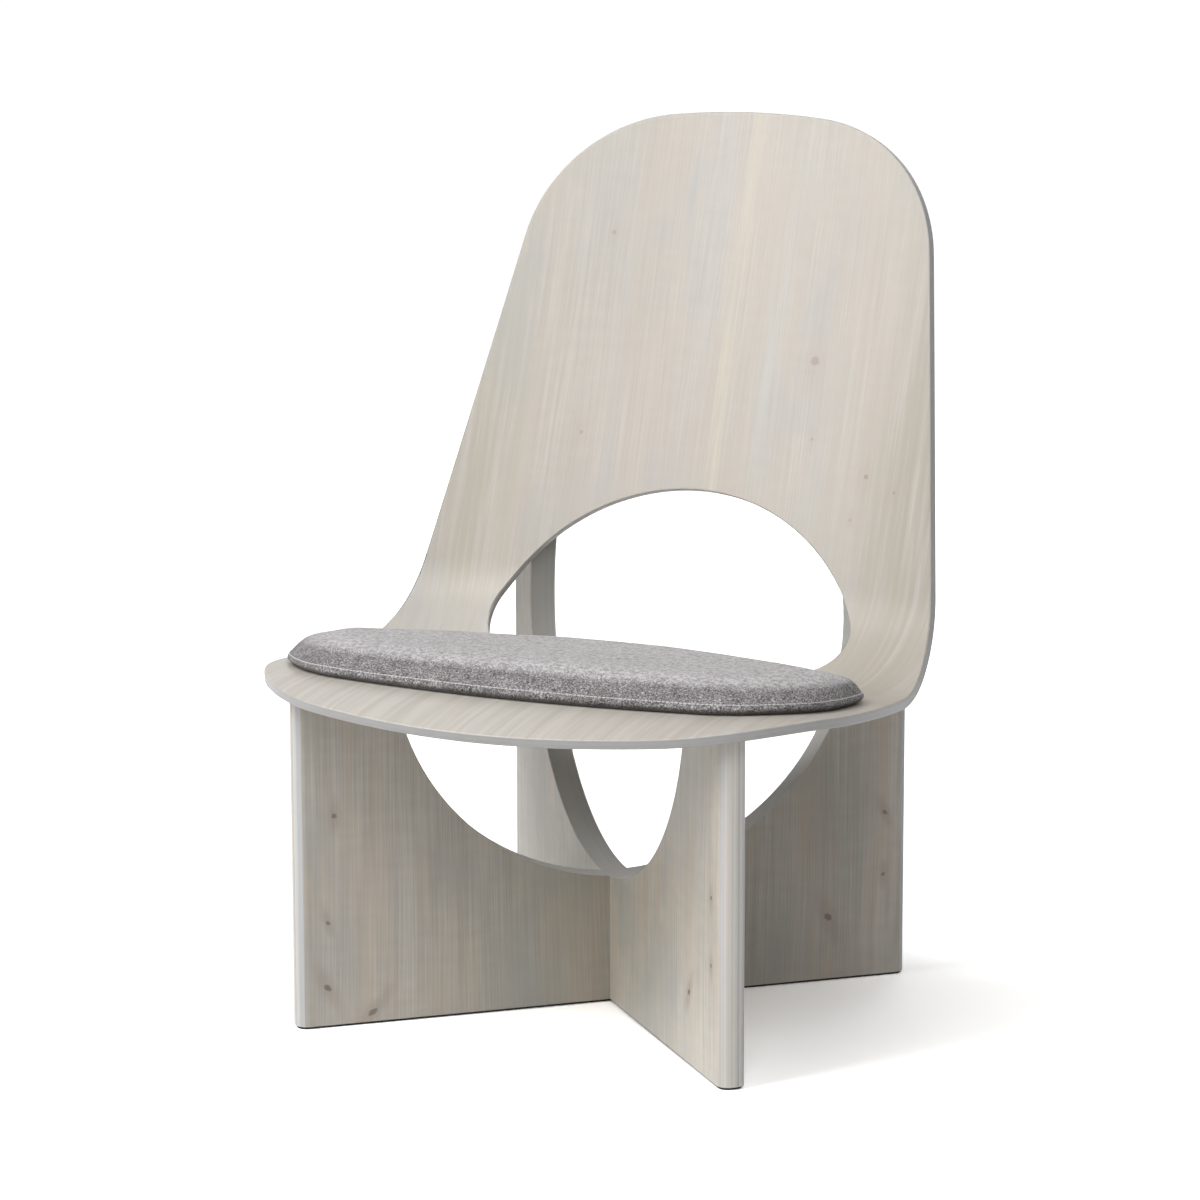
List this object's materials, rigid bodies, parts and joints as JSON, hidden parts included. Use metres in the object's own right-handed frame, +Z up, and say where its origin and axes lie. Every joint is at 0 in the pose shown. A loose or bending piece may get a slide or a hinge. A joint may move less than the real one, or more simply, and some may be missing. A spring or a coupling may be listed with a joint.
{
  "type": "lounge chair",
  "caption": "Low lounge chair: a moulded plywood seat and back shell with a half-moon opening, on two crossed plywood panels, with a loose felt seat pad.",
  "frame": {"origin": "on the floor, below the line where the two panels cross", "axes": "+Z up, -Y to the front of the chair, +X to the right seen from the front"},
  "size_m": [0.6208, 0.6342, 0.8661],
  "materials": {
    "shell_veneer": "satin grey-washed pine veneer",
    "panel_veneer": "satin grey-washed pine veneer",
    "floor_strip": "matt black",
    "felt": "grey melange wool felt",
    "foam": "plain foam, hidden",
    "dowel_wood": "plain beech, hidden"
  },
  "bodies": {
    "chair": {"seat_back_shell": "shell_veneer", "cross_panel_a": "panel_veneer", "cross_panel_b": "panel_veneer", "seat_dowels": "dowel_wood", "back_dowels": "dowel_wood", "floor_strip_long": "floor_strip", "floor_strip_front": "floor_strip", "floor_strip_rear": "floor_strip"},
    "seat_pad": {"pad_cover_top": "felt", "pad_cover_base": "felt", "pad_foam_core": "foam"}
  },
  "joints": [
    {"name": "pad_lift", "type": "slide", "parent": "chair", "child": "seat_pad", "axis": [0, 0.0821, 0.9966], "range_m": [0, 0.2]}
  ]
}
